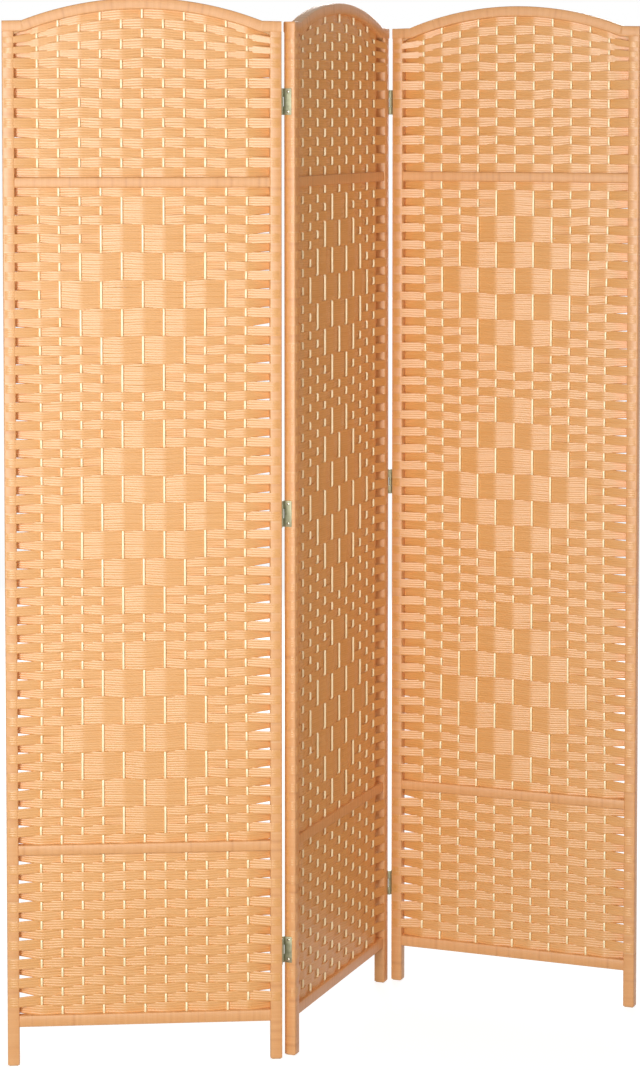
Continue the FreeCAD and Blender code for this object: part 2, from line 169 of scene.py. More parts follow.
# The share of the room that a pressed row leaves by which it lifts
LIFT_SHARE = (0.3, 0.5)

# The hinges
LEAF_THICKNESS = 1.2 * MM
LEAF_REACH = 16.2 * MM
LEAF_EDGE = 2.6 * MM
LEAF_CORNER = 1.6 * MM
LEAF_BEVEL = 0.18 * MM
TAB_END = 0.6 * MM
KNUCKLE_RADIUS = 2.2 * MM
KNUCKLE_EASE = 0.3 * MM
KNUCKLE_SIDES = 32
KNUCKLE_GAP = 0.4 * MM
KNUCKLE_BORE = 1.16 * MM
PIN_OFFSET = 12.2 * MM
SCREW_REACH = 10 * MM
SCREW_SPACING = 33.5 * MM
HEAD_RADIUS = 2.4 * MM
HEAD_HEIGHT = 0.7 * MM
HEAD_SUNK = 0.2 * MM
HEAD_SIDES = 28
DOME_SLOPE = 0.1
SLOT_WIDTH = 0.6 * MM
SLOT_DEPTH = 0.45 * MM
WELD = 0.001 * MM
SHARP_ANGLE = math.radians(25)

# A quarter turn, in degrees
QUARTER = range(0, 91, 15)

# The camera, fitted to the posts' ends and rails in the photograph
CAMERA_PLACE = (-0.0636, -5.081, 1.613)
CAMERA_TILT = 3.307
CAMERA_YAW = -0.49
CAMERA_LENS = 97.65
CAMERA_SHIFT = -0.24

FLOOR_SIZE = 40
AMBIENT = 0.22

# What a route's points may carry after x, y and z, and its usual value
POINT_MARKS = {"girth": 1.0, "pale": 0.0}

# The step of the seeds from panel to panel
FRAME_SEEDS = 100
WEAVE_SEEDS = 1000


# Node trees


class Wire:
    """An output socket. Arithmetic on it adds Math nodes to its tree."""

    def __init__(self, tree, socket):
        self.tree = tree
        self.socket = socket

    def math(self, operation, *values):
        return self.tree.math(operation, self, *values)

    def __add__(self, other):
        return self.tree.math("ADD", self, other)

    def __radd__(self, other):
        return self.tree.math("ADD", other, self)

    def __sub__(self, other):
        return self.tree.math("SUBTRACT", self, other)

    def __rsub__(self, other):
        return self.tree.math("SUBTRACT", other, self)

    def __mul__(self, other):
        return self.tree.math("MULTIPLY", self, other)

    def __rmul__(self, other):
        return self.tree.math("MULTIPLY", other, self)

    def __truediv__(self, other):
        return self.tree.math("DIVIDE", self, other)

    def __rtruediv__(self, other):
        return self.tree.math("DIVIDE", other, self)


class Made:
    """A node that a tree made. Its outputs are taken by name or number."""

    def __init__(self, tree, node):
        self.tree = tree
        self.node = node

    def __getitem__(self, key):
        return Wire(self.tree, self.node.outputs[key])


class Tree:
    """A node tree, shader or geometry."""

    def __init__(self, tree):
        self.tree = tree

    def add(self, kind, settings=None, sockets=None):
        """A node by its type, with its settings first and then the values or links of its sockets."""
        node = self.tree.nodes.new(kind)
        for name, value in (settings or {}).items():
            setattr(node, name, value)
        for key, value in (sockets or {}).items():
            if isinstance(value, Made):
                value = value[0]
            if isinstance(value, Wire):
                self.tree.links.new(value.socket, node.inputs[key])
            else:
                node.inputs[key].default_value = value
        return Made(self, node)

    def math(self, operation, *values):
        return self.add("ShaderNodeMath", {"operation": operation}, dict(enumerate(values)))[0]

    def mix_colour(self, factor, first, second):
        return self.add("ShaderNodeMix", {"data_type": "RGBA"}, {0: factor, 6: first, 7: second})[2]


def srgb(red, green, blue):
    """A linear colour from screen values of 0 to 255."""
    parts = [value / 255 for value in (red, green, blue)]
    return (*[part / 12.92 if part <= 0.04045 else ((part + 0.055) / 1.055) ** 2.4 for part in parts], 1)


# Geometry trees


def geometry_tree(name, inputs):
    """A geometry tree with named inputs, and the node that gives them."""
    group = bpy.data.node_groups.new(name, "GeometryNodeTree")
    group.interface.new_socket("Geometry", in_out="OUTPUT", socket_type="NodeSocketGeometry")
    group.interface.new_socket("Geometry", in_out="INPUT", socket_type="NodeSocketGeometry")
    for label, kind in inputs.items():
        group.interface.new_socket(label, in_out="INPUT", socket_type=f"NodeSocket{kind}")
    tree = Tree(group)
    return tree, tree.add("NodeGroupInput")


def end_tree(tree, geometry, coat):
    """The end of a geometry tree: smooth, real and coated."""
    smooth = tree.add("GeometryNodeSetShadeSmooth", sockets={0: geometry})
    real = tree.add("GeometryNodeRealizeInstances", sockets={"Geometry": smooth})
    coated = tree.add("GeometryNodeSetMaterial", sockets={"Geometry": real, "Material": coat})
    tree.add("NodeGroupOutput", sockets={"Geometry": coated})
    return tree.tree


def keep(tree, geometry, name, value):
    """Geometry with a number kept on its points, for the materials to read."""
    settings = {"data_type": "FLOAT", "domain": "POINT"}
    sockets = {"Geometry": geometry, "Name": name, "Value": value}
    return tree.add("GeometryNodeStoreNamedAttribute", settings, sockets)


def random_number(tree, which, seed):
    """A number from 0 to 1 by chance, the same for the same thing and seed."""
    return tree.add("FunctionNodeRandomValue", {"data_type": "FLOAT"}, {"ID": which, "Seed": seed})[1]


def rounded_bar(tree, depth, height, corner):
    """A section of a bar with rounded corners, and its length round kept as around."""
    sides = {"Width": depth, "Height": height}
    section = tree.add("GeometryNodeCurvePrimitiveQuadrilateral", {"mode": "RECTANGLE"}, sides)
    rounding = {"Curve": section, "Count": 2, "Radius": corner}
    section = tree.add("GeometryNodeFilletCurve", {"mode": "POLY"}, rounding)
    return keep(tree, section, "around", tree.add("GeometryNodeSplineParameter")["Length"])


def oval(tree, depth, height, fullness):
    """A section between an oval, of fullness 1, and a box, of fullness 0, with its length round kept."""
    ring = tree.add("GeometryNodeCurvePrimitiveCircle", sockets={"Resolution": 12, "Radius": 1.0})["Curve"]
    place = tree.add("ShaderNodeSeparateXYZ", sockets={"Vector": tree.add("GeometryNodeInputPosition")})
    across = place["X"].math("SIGN") * place["X"].math("ABSOLUTE").math("POWER", fullness) * depth / 2
    up = place["Y"].math("SIGN") * place["Y"].math("ABSOLUTE").math("POWER", fullness) * height / 2
    place = tree.add("ShaderNodeCombineXYZ", sockets={"X": across, "Y": up})
    ring = tree.add("GeometryNodeSetPosition", sockets={"Geometry": ring, "Position": place})
    return keep(tree, ring, "around", tree.add("GeometryNodeSplineParameter")["Length"])


def sweep(tree, route, section):
    """A section carried along a route and closed at the ends."""
    sockets = {"Curve": route, "Profile Curve": section, "Fill Caps": True}
    return tree.add("GeometryNodeCurveToMesh", sockets=sockets)


def cord_tree(name, normals):
    """Cord of an oval section along every route. Z_UP keeps flat cord upright in the rows."""
    inputs = {
        "Width": "Float",
        "Thickness": "Float",
        "Fullness": "Float",
        "Seed": "Int",
        "Material": "Material",
    }
    tree, given = geometry_tree(name, inputs)
    route = tree.add("GeometryNodeMeshToCurve", sockets={"Mesh": given["Geometry"]})
    route = tree.add("GeometryNodeSetCurveNormal", {"mode": normals}, {"Curve": route})
    route = keep(tree, route, "along", tree.add("GeometryNodeSplineParameter")["Length"])
    which = tree.add("GeometryNodeCurveOfPoint")["Curve Index"]
    route = keep(tree, route, "tint", random_number(tree, which, given["Seed"]))
    section = oval(tree, given["Thickness"], given["Width"], given["Fullness"])
    return end_tree(tree, sweep(tree, route, section), given["Material"])


def winding_tree():
    """Close turns of cord round a bar of a rounded section that follows one route.

    The turns lie in bands, with a deeper groove from band to band, and few of those are really deep. The
    route's points carry girth, the share of the bar's full section, and pale, how far a pale strand shows.
    """
    inputs = {
        "Depth": "Float",
        "Height": "Float",
        "Corner": "Float",
        "Turn": "Float",
        "Groove": "Float",
        "Band": "Int",
        "Seed": "Int",
        "Material": "Material",
    }
    tree, given = geometry_tree("turns_round_bar", inputs)
    route = tree.add("GeometryNodeMeshToCurve", sockets={"Mesh": given["Geometry"]})
    length = tree.add("GeometryNodeCurveLength", sockets={"Curve": route})["Length"]
    turns = (length / given["Turn"]).math("ROUND")
    sampling = {"Curve": route, "Count": turns * TURN_STEPS + 1}
    route = tree.add("GeometryNodeResampleCurve", {"mode": "COUNT"}, sampling)
    step = tree.add("GeometryNodeInputIndex")["Index"]
    half_turns = step * (math.pi / TURN_STEPS)
    loose = random_number(tree, (step / TURN_STEPS).math("FLOOR"), given["Seed"])
    dip = half_turns.math("COSINE").math("ABSOLUTE").math("POWER", TURN_SHARPNESS)
    girth = tree.add("GeometryNodeInputNamedAttribute", {"data_type": "FLOAT"}, {"Name": "girth"})[0]
    which_band = (step / (given["Band"] * TURN_STEPS)).math("ROUND")
    deepness = random_number(tree, which_band, given["Seed"] + 1).math("POWER", DEEP_BAND_RARITY)
    bands = (half_turns / given["Band"]).math("COSINE").math("ABSOLUTE").math("POWER", BAND_SHARPNESS)
    bands = bands * (SHALLOWEST_BAND + (1 - SHALLOWEST_BAND) * deepness)
    depth = dip * GROOVE_DEPTH["turn"] + bands * GROOVE_DEPTH["band"] + loose * GROOVE_DEPTH["loose"]
    radius = girth * (1 - given["Groove"] * depth)
    # Painted shade: the colour is made darker in the grooves between turns, and more so between bands, and
    # kept as groove for the material
    shade = dip * PAINTED_GROOVE_SHADE["turn"] + bands * PAINTED_GROOVE_SHADE["band"]
    route = keep(tree, route, "along", tree.add("GeometryNodeSplineParameter")["Length"])
    route = keep(tree, route, "tint", loose)
    route = keep(tree, route, "groove", shade)
    route = tree.add("GeometryNodeSetCurveRadius", sockets={"Curve": route, "Radius": radius})
    section = rounded_bar(tree, given["Depth"], given["Height"], given["Corner"])
    return end_tree(tree, sweep(tree, route, section), given["Material"])


def copies_tree():
    """Copies of one piece at every point, each turned by chance about the x axis."""
    inputs = {"Piece": "Object", "Turn": "Float", "Seed": "Int", "Material": "Material"}
    tree, given = geometry_tree("copies_at_points", inputs)
    piece = tree.add("GeometryNodeObjectInfo", sockets={"Object": given["Piece"]})["Geometry"]
    points = {"Points": given["Geometry"], "Instance": piece}
    copies = tree.add("GeometryNodeInstanceOnPoints", sockets=points)
    angle = random_number(tree, tree.add("GeometryNodeInputIndex"), given["Seed"]) * given["Turn"]
    turn = tree.add("ShaderNodeCombineXYZ", sockets={"X": angle})
    copies = tree.add("GeometryNodeRotateInstances", sockets={"Instances": copies, "Rotation": turn})
    return end_tree(tree, copies, given["Material"])


def grown(name, routes, group, **values):
    """A plain mesh object that a geometry tree grows on routes, whose points are (x, y, z, girth, pale)."""
    mesh = bpy.data.meshes.new(name)
    points = []
    edges = []
    for route in routes:
        start = len(points)
        points += route
        edges += [(index, index + 1) for index in range(start, len(points) - 1)]
    mesh.from_pydata([Vector(point[:3]) for point in points], edges, [])
    for place, (label, usual) in enumerate(POINT_MARKS.items(), start=3):
        marks = mesh.attributes.new(label, "FLOAT", "POINT")
        marks.data.foreach_set("value", [point[place] if len(point) > place else usual for point in points])
    piece = bpy.data.objects.new(name, mesh)
    bpy.context.scene.collection.objects.link(piece)
    modifier = piece.modifiers.new(group.name, "NODES")
    modifier.node_group = group
    for item in group.interface.items_tree:
        if item.in_out == "INPUT" and item.name in values:
            modifier[item.identifier] = values[item.name]
    depsgraph = bpy.context.evaluated_depsgraph_get()
    plain = bpy.data.meshes.new_from_object(
        piece.evaluated_get(depsgraph), preserve_all_data_layers=True, depsgraph=depsgraph
    )
    piece.modifiers.clear()
    piece.data = plain
    plain.name = name
    bpy.data.meshes.remove(mesh)
    return piece


# Materials


def material(name):
    """A new material and its tree, which is empty."""
    made = bpy.data.materials.new(name)
    made.use_nodes = True
    made.node_tree.nodes.clear()
    return made, Tree(made.node_tree)


def surface(tree, sockets):
    """Ends a material's tree with one shader."""
    shader = tree.add("ShaderNodeBsdfPrincipled", sockets=sockets)
    tree.add("ShaderNodeOutputMaterial", sockets={"Surface": shader})


def kept(tree, name):
    """A number that a geometry tree kept on the points."""
    return tree.add("ShaderNodeAttribute", {"attribute_name": name})["Fac"]


def noise(tree, place, scale, detail):
    """Soft cloudy variation, about 0 to 1."""
    sockets = {"Vector": place, "Scale": scale, "Detail": detail}
    return tree.add("ShaderNodeTexNoise", sockets=sockets)["Fac"]


def paper_cord(name, pale, deep, gloss, ior=1.5, wound=False):
    """Twisted paper: its tone changes from cord to cord and along each, with the twist's slanting lines.

    Shade is painted into the grooves, which are browner, and it is paler where a strand shows. Wound cord
    runs round its bar, and so across the bar's own length.
    """
    made, tree = material(name)
    along, around = kept(tree, "along"), kept(tree, "around")
    if wound:
        along, around = around, along
    tint = kept(tree, "tint")
    place = tree.add("ShaderNodeTexCoord")["Object"]
    cloud = noise(tree, place, scale=26.0, detail=3.0)
    stretched = {"X": along * STREAKS_ALONG, "Y": around * STREAKS_AROUND, "Z": tint * STREAKS_APART}
    streak = noise(tree, tree.add("ShaderNodeCombineXYZ", sockets=stretched), scale=1.0, detail=4.0)
    lines = ((along * TWIST_ALONG + around * TWIST_AROUND) * math.tau).math("SINE") * 0.5 + 0.5
    tone = tint * 0.5 + cloud * 0.4 + streak * 0.6 - 0.25
    colour = tree.mix_colour(tone, pale, deep)
    colour = tree.mix_colour(lines * 0.15, colour, deep)
    # Painted shade: the grooves get a darker, browner colour where shade falls between the turns
    shade = (0.7 * deep[0], 0.55 * deep[1], 0.45 * deep[2], 1)
    colour = tree.mix_colour(kept(tree, "groove") * 0.16, colour, shade)
    strand = (0.9, 0.76, 0.45, 1)
    colour = tree.mix_colour(kept(tree, "pale") * 0.9, colour, strand)
    height = lines * 0.6 + streak * 0.4
    bump = tree.add("ShaderNodeBump", sockets={"Strength": 0.2, "Distance": 0.0004, "Height": height})
    sockets = {
        "Base Color": colour,
        "Roughness": 0.34 + streak * 0.14,
        "IOR": ior,
        "Specular IOR Level": gloss,
        "Normal": bump,
    }
    surface(tree, sockets)
    return made


def brass():
    """Antique plate on steel: dull olive brass, brighter where it is rubbed."""
    made, tree = material("antique_brass")
    place = tree.add("ShaderNodeTexCoord")["Object"]
    cloud = noise(tree, place, scale=160.0, detail=5.0)
    fine = noise(tree, place, scale=900.0, detail=2.0)
    colour = tree.mix_colour(cloud, srgb(112, 112, 90), srgb(180, 180, 150))
    bump = tree.add("ShaderNodeBump", sockets={"Strength": 0.15, "Distance": 0.0003, "Height": fine})
    roughness = 0.42 + cloud * 0.22
    surface(tree, {"Base Color": colour, "Metallic": 0.9, "Roughness": roughness, "Normal": bump})
    return made


def bright_steel():
    """The screws' plain steel."""
    made, tree = material("bright_steel")
    place = tree.add("ShaderNodeTexCoord")["Object"]
    fine = noise(tree, place, scale=1200.0, detail=2.0)
    colour = tree.mix_colour(fine, srgb(176, 170, 154), srgb(212, 207, 194))
    surface(tree, {"Base Color": colour, "Metallic": 1.0, "Roughness": 0.2 + fine * 0.15})
    return made


def post_wood():
    """Softwood that shows only at the feet's ends."""
    made, tree = material("post_wood")
    place = tree.add("ShaderNodeTexCoord")["Object"]
    stretched = tree.add("ShaderNodeMapping", sockets={"Vector": place, "Scale": (180.0, 180.0, 9.0)})
    grain = noise(tree, stretched, scale=1.0, detail=5.0)
    colour = tree.mix_colour(grain, srgb(226, 190, 140), srgb(176, 128, 78))
    surface(tree, {"Base Color": colour, "Roughness": 0.55 + grain * 0.2})
    return made


# Places of the panels


def panel_place(panel):
    """A panel's own frame in the row's frame, from the middles of its two feet."""
    feet = {mount["name"]: Vector(mount["pos_m"]) for mount in frame["record"]["mounts"]}
    left, right = feet[f"{panel}_left_foot"], feet[f"{panel}_right_foot"]
    turn = math.atan2(right.y - left.y, right.x - left.x)
    start = left - Vector((math.cos(turn), math.sin(turn), 0)) * POST / 2
    return Matrix.Translation(start) @ Matrix.Rotation(turn, 4, "Z")


def set_on(piece, panel, node):
    """Puts a piece drawn in a panel's frame in its place, in the stead of a CAD node."""
    piece.data.transform(panel_place(panel))
    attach(piece, panel)
    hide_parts(node)


def rail_span(rail):
    """Lowest and highest level of a bound cross rail."""
    low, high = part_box(f"left_panel_{rail}")
    return low.z - RAIL_BINDING, high.z + RAIL_BINDING


BOTTOM_RAIL = rail_span("bottom_rail")
LOWER_RAIL = rail_span("lower_rail")
UPPER_RAIL = rail_span("upper_rail")
RAILS = {"bottom_rail": BOTTOM_RAIL, "lower_rail": LOWER_RAIL, "upper_rail": UPPER_RAIL}
ROW_PITCH = {
    "base": (LOWER_RAIL[0] - BOTTOM_RAIL[1]) / ROWS["base"],
    "middle": (UPPER_RAIL[0] - LOWER_RAIL[1]) / ROWS["middle"],
    "top": TOP_ROW_SHARE * (UPPER_RAIL[0] - LOWER_RAIL[1]) / ROWS["middle"],
}
SECTIONS = {
    "base": (BOTTOM_RAIL[1], LOWER_RAIL[0]),
    "middle": (LOWER_RAIL[1], UPPER_RAIL[0]),
    "top": (UPPER_RAIL[1], UPPER_RAIL[1] + ROWS["top"] * ROW_PITCH["top"]),
}

# The arch: one arc from shoulder to shoulder
HALF_CHORD = PANEL_WIDTH / 2 - ARCH_SHOULDER
ARCH_RADIUS = (HALF_CHORD**2 + ARCH_RISE**2) / (2 * ARCH_RISE)
ARCH_CENTRE = SHOULDER + ARCH_RISE - ARCH_RADIUS
ARCH_MIDDLE = ARCH_RADIUS - ARCH_HEIGHT / 2
ARCH_UNDERSIDE = ARCH_RADIUS - ARCH_HEIGHT
BENT_ROWS_FROM = SHOULDER - ARCH_PRESS


# Frame of a panel: cord wound round the posts and rails


def post_route(side, chance):
    """Up a post's middle: a slimmer foot, a step at the bottom rail and a full girth above it.

    Beside many of the rows that pass behind the post, a pale strand shows between its turns.
    """
    x = POST / 2 if side == "left" else PANEL_WIDTH - POST / 2
    number = 0 if side == "left" else STAKES + 1
    step = BOTTOM_RAIL[0]
    route = [
        (x, 0, FOOT_LEVEL, FOOT_GIRTH, 0.0),
        (x, 0, step - TURN, FOOT_GIRTH, 0.0),
        (x, 0, step + TURN, 1.0, 0.0),
    ]
    for section in SECTIONS:
        for row in range(1, ROWS[section] + 1 - ROWS_WITHOUT_STRAND):
            if passes_behind(section, row, number) and chance.random() < STRAND_CHANCE:
                level = SECTIONS[section][0] + (row - 0.5 + STRAND_PLACE[side]) * ROW_PITCH[section]
                strand = [(-STRAND_REACH, 0.0), (0, chance.uniform(*STRAND_PALENESS)), (STRAND_REACH, 0.0)]
                route += [(x, 0, level + rise, 1.0, pale) for rise, pale in strand]
    return route + [(x, 0, SHOULDER - POST_TOP_GAP, 1.0, 0.0)]


def rail_route(span):
    """Along a cross rail, from just inside one post to just inside the other."""
    level = sum(span) / 2
    return [(POST - RAIL_OVERLAP, 0, level), (PANEL_WIDTH - POST + RAIL_OVERLAP, 0, level)]


def arch_route():
    """Along the arch's middle line, with a level stretch over each post that is rounded at its outer end."""
    reach = math.asin(HALF_CHORD / ARCH_RADIUS)
    arc = []
    for step in range(ARCH_STEPS + 1):
        angle = reach * (2 * step / ARCH_STEPS - 1)
        x = PANEL_WIDTH / 2 + ARCH_MIDDLE * math.sin(angle)
        arc.append((x, 0, ARCH_CENTRE + ARCH_MIDDLE * math.cos(angle)))
    level = SHOULDER - ARCH_HEIGHT / 2
    left = [(x, 0, level, girth) for x, girth in ARCH_END]
    right = [(PANEL_WIDTH - x, 0, level, girth) for x, girth in reversed(ARCH_END)]
    return left + arc + right


def bind_frame(panel, seed, winding, coat):
    """Every bound post and rail of a panel."""
    chance = random.Random(seed)
    for side in ("left", "right"):
        seed += 1
        post = grown(
            f"{panel}_{side}_post_turns",
            [post_route(side, chance)],
            winding,
            Depth=POST,
            Height=POST,
            Corner=CORD_CORNER,
            Turn=TURN,
            Groove=POST_GROOVE,
            Band=POST_BAND,
            Seed=seed,
            Material=coat,
        )
        set_on(post, panel, f"{panel}_{side}_post_binding")
    bars = []
    for rail, span in RAILS.items():
        bars.append((rail, rail_route(span), RAIL_DEPTH, RAIL_FULLNESS * (span[1] - span[0]), RAIL_GROOVE))
    bars.append(("arch", arch_route(), ARCH_DEPTH, ARCH_HEIGHT, ARCH_GROOVE))
    for bar, route, depth, height, groove in bars:
        seed += 1
        turns = grown(
            f"{panel}_{bar}_turns",
            [route],
            winding,
            Depth=depth,
            Height=height,
            Corner=CORD_CORNER,
            Turn=TURN,
            Groove=groove,
            Band=BAR_BAND,
            Seed=seed,
            Material=coat,
        )
        set_on(turns, panel, f"{panel}_rail_bindings")


# Stakes and weave


def stake_place(panel, number, section, level):
    """x of a stake at a level. The pull of the rows bows the outer stakes inward between the rails."""
    low, high = SECTIONS[section]
    length = SECTIONS["middle"][1] - SECTIONS["middle"][0]
    share = min(max((level - low) / (high - low), 0), 1)
    out = (number - MIDDLE_STAKE) / (MIDDLE_STAKE - 1)
    bow = STAKE_BOW[panel] * ((high - low) / length) ** 2 * math.sin(math.pi * share)
    return POST + EDGE_SPACE + (number - 1) * STAKE_PITCH - bow * out * abs(out)


def arch_level(x):
    """Level of the arch's middle line."""
    return ARCH_CENTRE + math.sqrt(ARCH_MIDDLE**2 - (x - PANEL_WIDTH / 2) ** 2)


def stake_routes(panel, section):
    """The stakes of a section. Each bends forward where a row passes behind it, and back elsewhere."""
    low, high = SECTIONS[section]
    pitch = ROW_PITCH[section]
    routes = []
    for number in range(1, STAKES + 1):
        foot = stake_place(panel, number, section, low)
        top = arch_level(foot) if section == "top" else high + STAKE_END
        route = [(foot, 0, low - STAKE_END)]
        for row in range(1, ROWS[section] + 1):
            y = -STAKE_SWING if passes_behind(section, row, number) else STAKE_SWING
            for share in (-STAKE_BEND_SHARE, STAKE_BEND_SHARE):
                level = low + (row - 0.5 + share) * pitch
                x = stake_place(panel, number, section, level)
                route.append((x, y, under_arch(x, level) if section == "top" else level))
        route.append((stake_place(panel, number, section, high), 0, top))
        routes.append(route)
    return routes


def diamond_half_width(row):
    """How many stakes to each side of the middle one a row's diamond reaches, or 0 on plain rows."""
    tier = (row - FIRST_DIAMOND_ROW) % DIAMOND_ROWS // TIER_ROWS
    return DIAMOND_TIERS[tier] if tier < len(DIAMOND_TIERS) else 0


def passes_behind(section, row, number):
    """Whether a row passes behind a stake, which then shows. Numbers 0 and 12 are the posts."""
    half_width = diamond_half_width(row) if section == "middle" else 0
    if half_width and abs(number - MIDDLE_STAKE) <= half_width:
        return (number - MIDDLE_STAKE - half_width) % 2 == 0
    return (row + number) % 2 == 1


def post_wrap(side):
    """A row's way over the left post's face, from its outer edge to its inner corner, as (x, y) points."""
    skin = CORD_THICKNESS / 2 - WRAP_BEDDING
    face = POST / 2 - skin
    return [
        (skin, side * WRAP_START),
        (skin, side * (face - WRAP_CORNER)),
        (skin + WRAP_CORNER, side * face),
        (POST - WRAP_END, side * face),
    ]


def row_plan(panel, section, row, level):
    """A row seen from above, as (x, y, number of the stake or post, side) points."""
    sides = [1 if passes_behind(section, row, number) else -1 for number in range(STAKES + 2)]
    left_wrap = post_wrap(sides[0])
    right_wrap = [(PANEL_WIDTH - x, y) for x, y in reversed(post_wrap(sides[-1]))]
    corners = [left_wrap[-1]]
    for number in range(1, STAKES + 1):
        corners.append((stake_place(panel, number, section, level), sides[number] * ROW_SWING))
    corners.append(right_wrap[0])
    plan = [(x, y, 0, sides[0]) for x, y in left_wrap]
    for number in range(1, STAKES + 1):
        (x, y), before, after = corners[number], corners[number - 1], corners[number + 1]
        rise_before = (y - before[1]) / (x - before[0]) * ROW_BEND
        rise_after = (after[1] - y) / (after[0] - x) * ROW_BEND
        plan.append((x - ROW_BEND, y - rise_before, number, sides[number]))
        plan.append((x, y + (rise_after - rise_before) / 4, number, sides[number]))
        plan.append((x + ROW_BEND, y + rise_after, number, sides[number]))
    return plan + [(x, y, STAKES + 1, sides[-1]) for x, y in right_wrap]


def under_arch(x, level):
    """The level of a top row at x. The arch presses its ends down, the more the higher it lies."""
    if level < BENT_ROWS_FROM:
        return level
    reach = min(abs(x - PANEL_WIDTH / 2), HALF_CHORD)
    room = ARCH_CENTRE + math.sqrt(ARCH_UNDERSIDE**2 - reach**2) - BENT_ROWS_FROM
    full_room = ARCH_CENTRE + ARCH_UNDERSIDE - BENT_ROWS_FROM
    return BENT_ROWS_FROM + (level - BENT_ROWS_FROM) * room / full_room


def wave(panel, section, x, level):
    """How far the rows lie off their level at a place. They are straight by the posts and rails."""
    low, high = SECTIONS[section]
    room = min(x - POST, PANEL_WIDTH - POST - x, level - low, high - level)
    fade = min(max(room / WAVE_FADE, 0), 1)
    phase = WAVE_PHASE * PANELS.index(panel)
    swell = sum(share * math.sin(along * x + up * level + part * phase) for share, along, up, part in WAVES)
    return WAVE * fade * swell


def row_routes(panel, section, row, chance):
    """The cords of one row, side by side, and pressed together where the row passes behind a post."""
    low = SECTIONS[section][0]
    pitch = ROW_PITCH[section]
    level = low + (row - 0.5) * pitch
    plan = row_plan(panel, section, row, level)
    spread = {}
    drift = {}
    for number, side in {point[2]: point[3] for point in plan}.items():
        if number in (0, STAKES + 1):
            squeeze = SQUEEZE[panel][section][0 if number == 0 else 1]
            squeeze = chance.gauss(squeeze, SQUEEZE_CHANCE)
            spread[number] = POST_SPREAD if side < 0 else min(squeeze, WIDEST_SPREAD)
            drift[number] = 0 if side < 0 else (1 - squeeze) * chance.uniform(*LIFT_SHARE) * pitch
        else:
            spread[number] = FRONT_SPREAD if side < 0 else BACK_SPREAD
            drift[number] = chance.gauss(0, ROW_STRAY)
    routes = []
    for cord in range(CORDS_IN_ROW):
        offset = (cord - (CORDS_IN_ROW - 1) / 2) * pitch / CORDS_IN_ROW
        stray = {number: drift[number] + chance.gauss(0, CORD_STRAY) for number in spread}
        route = []
        for x, y, number, side in plan:
            z = level + offset * spread[number] + stray[number]
            route.append((x, y, z + wave(panel, section, x, z)))
        if section == "top":
            route = [(x, y, under_arch(x, z)) for x, y, z in route]
        routes.append(route)
    return routes


def weave_panel(panel, seed, cord, stake, coat, stake_coat):
    """Stakes and rows of a panel's sections. In the middle section, each diamond's rows are one piece."""
    chance = random.Random(seed)
    stretches = [("top", 1, ROWS["top"], "top"), ("base", 1, ROWS["base"], "base")]
    for index, diamond in enumerate(("low", "mid", "high")):
        first = 1 + index * DIAMOND_ROWS
        last = min(first + DIAMOND_ROWS - 1, ROWS["middle"])
        stretches.append(("middle", first, last, f"{diamond}_diamond"))
    for section, first, last, label in stretches:
        routes = []
        for row in range(first, last + 1):
            routes += row_routes(panel, section, row, chance)
        rows = grown(
            f"{panel}_{label}_rows",
            routes,
            cord,
            Width=ROW_PITCH[section] / CORDS_IN_ROW * CORD_OVERLAP,
            Thickness=CORD_THICKNESS,
            Fullness=CORD_FULLNESS,
            Seed=seed + first,
            Material=coat,
        )
        node = "diamond_weave" if section == "middle" else f"{section}_weave"
        set_on(rows, panel, f"{panel}_{node}")
    for section in SECTIONS:
        stakes = grown(
            f"{panel}_{section}_stake_cords",
            stake_routes(panel, section),
            stake,
            Width=STAKE_WIDTH,
            Thickness=STAKE_DEPTH,
            Fullness=STAKE_FULLNESS,
            Seed=seed,
            Material=stake_coat,
        )
        node = "diamond_stakes" if section == "middle" else f"{section}_stakes"
        set_on(stakes, panel, f"{panel}_{node}")


# Hinges

HINGE_BOXES = [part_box(f"left_joint_{place}_pin") for place in ("upper", "middle", "lower")]
HINGE_LEVELS = [(low.z + high.z) / 2 for low, high in HINGE_BOXES]
HINGE_HEIGHT = HINGE_BOXES[0][1].z - HINGE_BOXES[0][0].z

# Each joint's leaves: panel, x of the post's edge, way off it, way to the pin, and thirds with knuckles
LEAVES = {
    "left_joint_single": ("left_panel", PANEL_WIDTH, 1, 1, (1,)),
    "left_joint_double": ("middle_panel", 0, -1, 1, (0, 2)),
    "right_joint_double": ("middle_panel", PANEL_WIDTH, 1, -1, (0, 2)),
    "right_joint_single": ("right_panel", 0, -1, -1, (1,)),
}


def knuckle_span(third):
    """Lower and upper end of a knuckle, from the hinge's middle, with room to the next one."""
    low = (third / 3 - 0.5) * HINGE_HEIGHT
    high = ((third + 1) / 3 - 0.5) * HINGE_HEIGHT
    room_below = KNUCKLE_GAP / 2 if third > 0 else 0
    room_above = KNUCKLE_GAP / 2 if third < 2 else 0
    return low + room_below, high - room_above


def leaf_outline(thirds):
    """The outline of a leaf, as (reach, height) points.

    Its outer corners are rounded. A tab runs to each knuckle, and the single leaf has inner corners too.
    """
    half = HINGE_HEIGHT / 2
    corners = []
    for level, start in ((LEAF_CORNER - half, -90), (half - LEAF_CORNER, 0)):
        for degrees in QUARTER:
            angle = math.radians(start + degrees)
            reach = LEAF_REACH - LEAF_CORNER + LEAF_CORNER * math.cos(angle)
            corners.append((reach, level + LEAF_CORNER * math.sin(angle)))
    tabs = []
    for third in reversed(thirds):
        low, high = knuckle_span(third)
        tabs += [(LEAF_EDGE, high), (TAB_END, high), (TAB_END, low), (LEAF_EDGE, low)]
    if 0 in thirds:
        return corners + tabs
    return [(LEAF_EDGE, -half)] + corners + [(LEAF_EDGE, half)] + tabs


